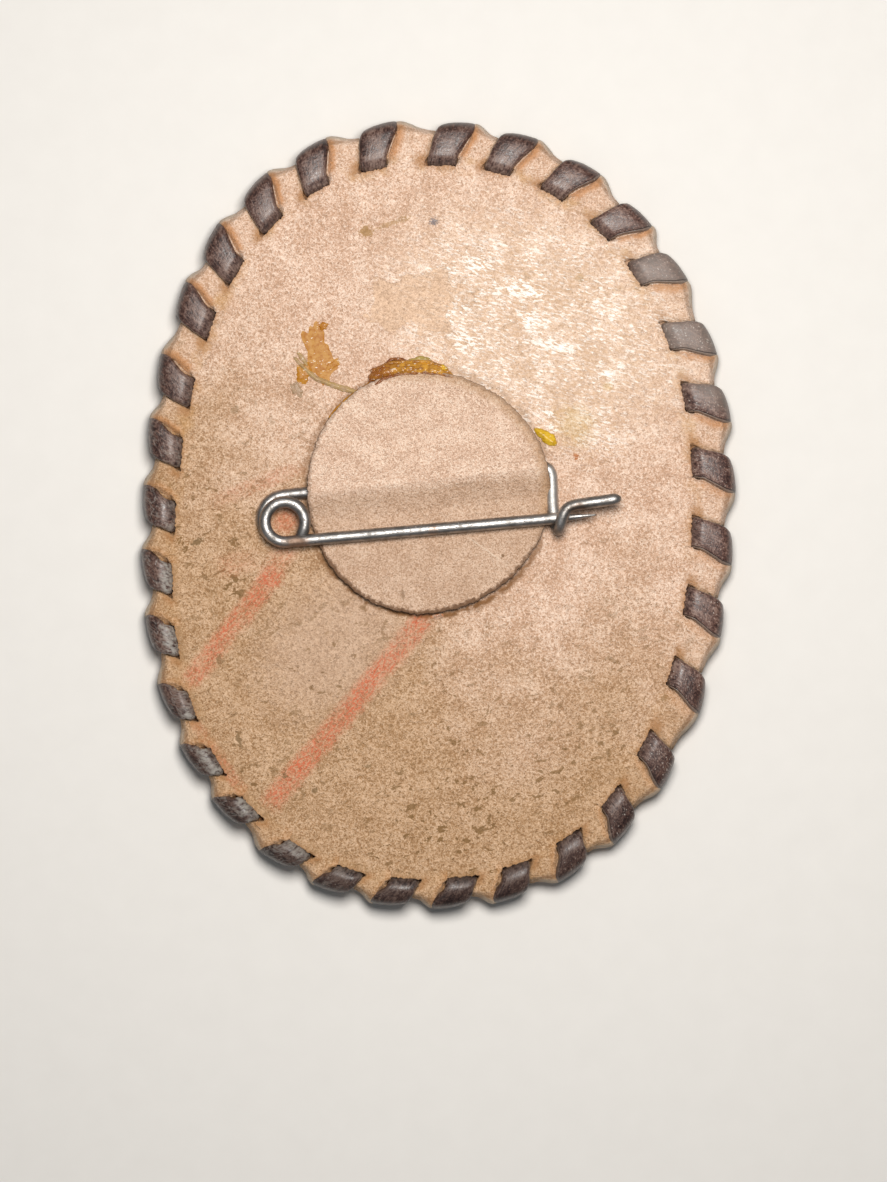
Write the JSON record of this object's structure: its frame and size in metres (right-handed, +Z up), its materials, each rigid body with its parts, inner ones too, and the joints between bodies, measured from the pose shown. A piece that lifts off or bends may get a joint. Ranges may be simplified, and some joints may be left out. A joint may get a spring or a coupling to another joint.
{
  "type": "leather badge",
  "caption": "Oval badge of thick leather with a laced edge, lying back up: a spring-wire pin held by a glued leather patch, its coil at one side and its hook at the other.",
  "frame": {"origin": "bottom centre of the bounding box, on the surface that the badge lies on face down", "axes": "+X to the right along the pin towards its hook, +Y to the top of the oval, +Z up out of the back of the badge"},
  "size_m": [0.0584, 0.0774, 0.0073],
  "materials": {
    "oval_leather": "undyed tan leather, fibrous flesh side up with small pits and rubbed stains, smooth grain underneath",
    "lace_leather": "dark brown flat lace with a soft sheen and pale cut edges",
    "patch_leather": "undyed tan leather, matt and fibrous, with a dark cut edge",
    "dried_glue": "clear amber dried glue, glossy and ridged",
    "wire_steel": "worn nickel-plated spring wire, greyed and lightly rusted",
    "stem_steel": "worn nickel-plated spring wire, polished along its crown"
  },
  "bodies": {
    "badge": {"leather_oval": "oval_leather", "edge_lace": "lace_leather", "backing_patch": "patch_leather", "glue_bead": "dried_glue", "pin_wire": "wire_steel"},
    "stem": {"pin_stem": "stem_steel"}
  },
  "joints": [
    {"name": "stem_squeeze", "type": "hinge", "parent": "badge", "child": "stem", "pos_m": [-0.01502, -0.00072, 0.00551], "axis": [0, 0, 1], "range_deg": [0, 5], "stiffness_Nm_per_rad": 0.01, "springref_deg": -14.9}
  ]
}
